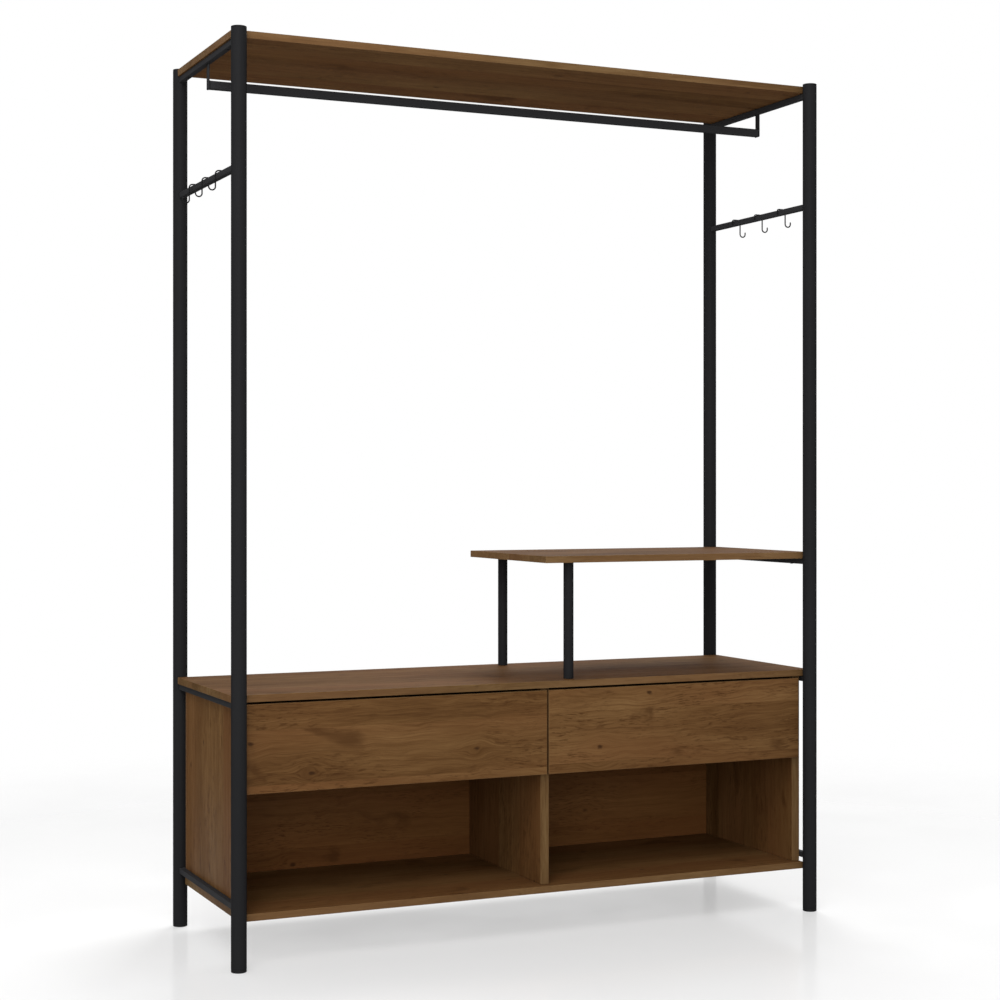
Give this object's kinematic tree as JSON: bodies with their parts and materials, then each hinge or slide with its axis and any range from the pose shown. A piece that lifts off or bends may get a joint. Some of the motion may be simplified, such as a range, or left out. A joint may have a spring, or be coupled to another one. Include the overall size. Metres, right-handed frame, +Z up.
{
  "type": "hall tree with hooks",
  "caption": "Free-standing steel-framed hall tree: clothes rod, S-hooks on side rails, top shelf, raised side shelf, and a wood-grain bench cabinet with drawers over open compartments.",
  "frame": {"origin": "on the floor, in the middle of the four posts", "axes": "+Z up, +Y to the back, +X to the right as seen from the front, along the long side"},
  "size_m": [1.4162, 0.48, 1.9],
  "materials": {
    "frame_paint": "matte black powder coat",
    "black_plastic": "matte",
    "wood_board": "low-gloss wood-grain laminate",
    "drawer_board": "matte laminate on thin board",
    "hook_wire": "satin black paint",
    "slide_steel": "zinc-plated"
  },
  "bodies": {
    "stand": {"post_front_left": "frame_paint", "post_front_right": "frame_paint", "post_back_left": "frame_paint", "post_back_right": "frame_paint", "cap_front_left": "black_plastic", "cap_front_right": "black_plastic", "cap_back_left": "black_plastic", "cap_back_right": "black_plastic", "foot_front_left": "black_plastic", "foot_front_right": "black_plastic", "foot_back_left": "black_plastic", "foot_back_right": "black_plastic", "top_rail_left": "frame_paint", "top_rail_right": "frame_paint", "hook_rail_left": "frame_paint", "hook_rail_right": "frame_paint", "bench_rail_left": "frame_paint", "bench_rail_right": "frame_paint", "base_rail_left": "frame_paint", "base_rail_right": "frame_paint", "side_shelf_rail": "frame_paint", "clothes_rod": "frame_paint", "rod_hanger_left": "frame_paint", "rod_hanger_right": "frame_paint", "shelf_post_front": "frame_paint", "shelf_post_back": "frame_paint", "top_shelf": "wood_board", "bench_top": "wood_board", "base_board": "wood_board", "side_shelf": "wood_board", "side_panel_left": "wood_board", "side_panel_right": "wood_board", "partition": "wood_board", "back_panel": "wood_board", "left_drawer_left_cabinet_slide": "slide_steel", "left_drawer_right_cabinet_slide": "slide_steel", "right_drawer_left_cabinet_slide": "slide_steel", "right_drawer_right_cabinet_slide": "slide_steel"},
    "left_drawer": {"left_drawer_front": "wood_board", "left_drawer_left_side": "drawer_board", "left_drawer_right_side": "drawer_board", "left_drawer_back": "drawer_board", "left_drawer_bottom": "drawer_board", "left_drawer_left_drawer_slide": "slide_steel", "left_drawer_right_drawer_slide": "slide_steel"},
    "right_drawer": {"right_drawer_front": "wood_board", "right_drawer_left_side": "drawer_board", "right_drawer_right_side": "drawer_board", "right_drawer_back": "drawer_board", "right_drawer_bottom": "drawer_board", "right_drawer_left_drawer_slide": "slide_steel", "right_drawer_right_drawer_slide": "slide_steel"},
    "left_front_hook": {"s_hook_left_front": "hook_wire"},
    "left_middle_hook": {"s_hook_left_middle": "hook_wire"},
    "left_back_hook": {"s_hook_left_back": "hook_wire"},
    "right_front_hook": {"s_hook_right_front": "hook_wire"},
    "right_middle_hook": {"s_hook_right_middle": "hook_wire"},
    "right_back_hook": {"s_hook_right_back": "hook_wire"}
  },
  "joints": [
    {"name": "left_drawer_slide", "type": "slide", "parent": "stand", "child": "left_drawer", "axis": [0, -1, 0], "range_m": [0, 0.26]},
    {"name": "right_drawer_slide", "type": "slide", "parent": "stand", "child": "right_drawer", "axis": [0, -1, 0], "range_m": [0, 0.26]},
    {"name": "left_front_hook_slide", "type": "slide", "parent": "stand", "child": "left_front_hook", "axis": [0, 1, 0], "range_m": [-0.1, 0.045]},
    {"name": "left_middle_hook_slide", "type": "slide", "parent": "stand", "child": "left_middle_hook", "axis": [0, 1, 0], "range_m": [-0.045, 0.045]},
    {"name": "left_back_hook_slide", "type": "slide", "parent": "stand", "child": "left_back_hook", "axis": [0, 1, 0], "range_m": [-0.045, 0.1]},
    {"name": "right_front_hook_slide", "type": "slide", "parent": "stand", "child": "right_front_hook", "axis": [0, 1, 0], "range_m": [-0.1, 0.045]},
    {"name": "right_middle_hook_slide", "type": "slide", "parent": "stand", "child": "right_middle_hook", "axis": [0, 1, 0], "range_m": [-0.045, 0.045]},
    {"name": "right_back_hook_slide", "type": "slide", "parent": "stand", "child": "right_back_hook", "axis": [0, 1, 0], "range_m": [-0.045, 0.1]}
  ]
}
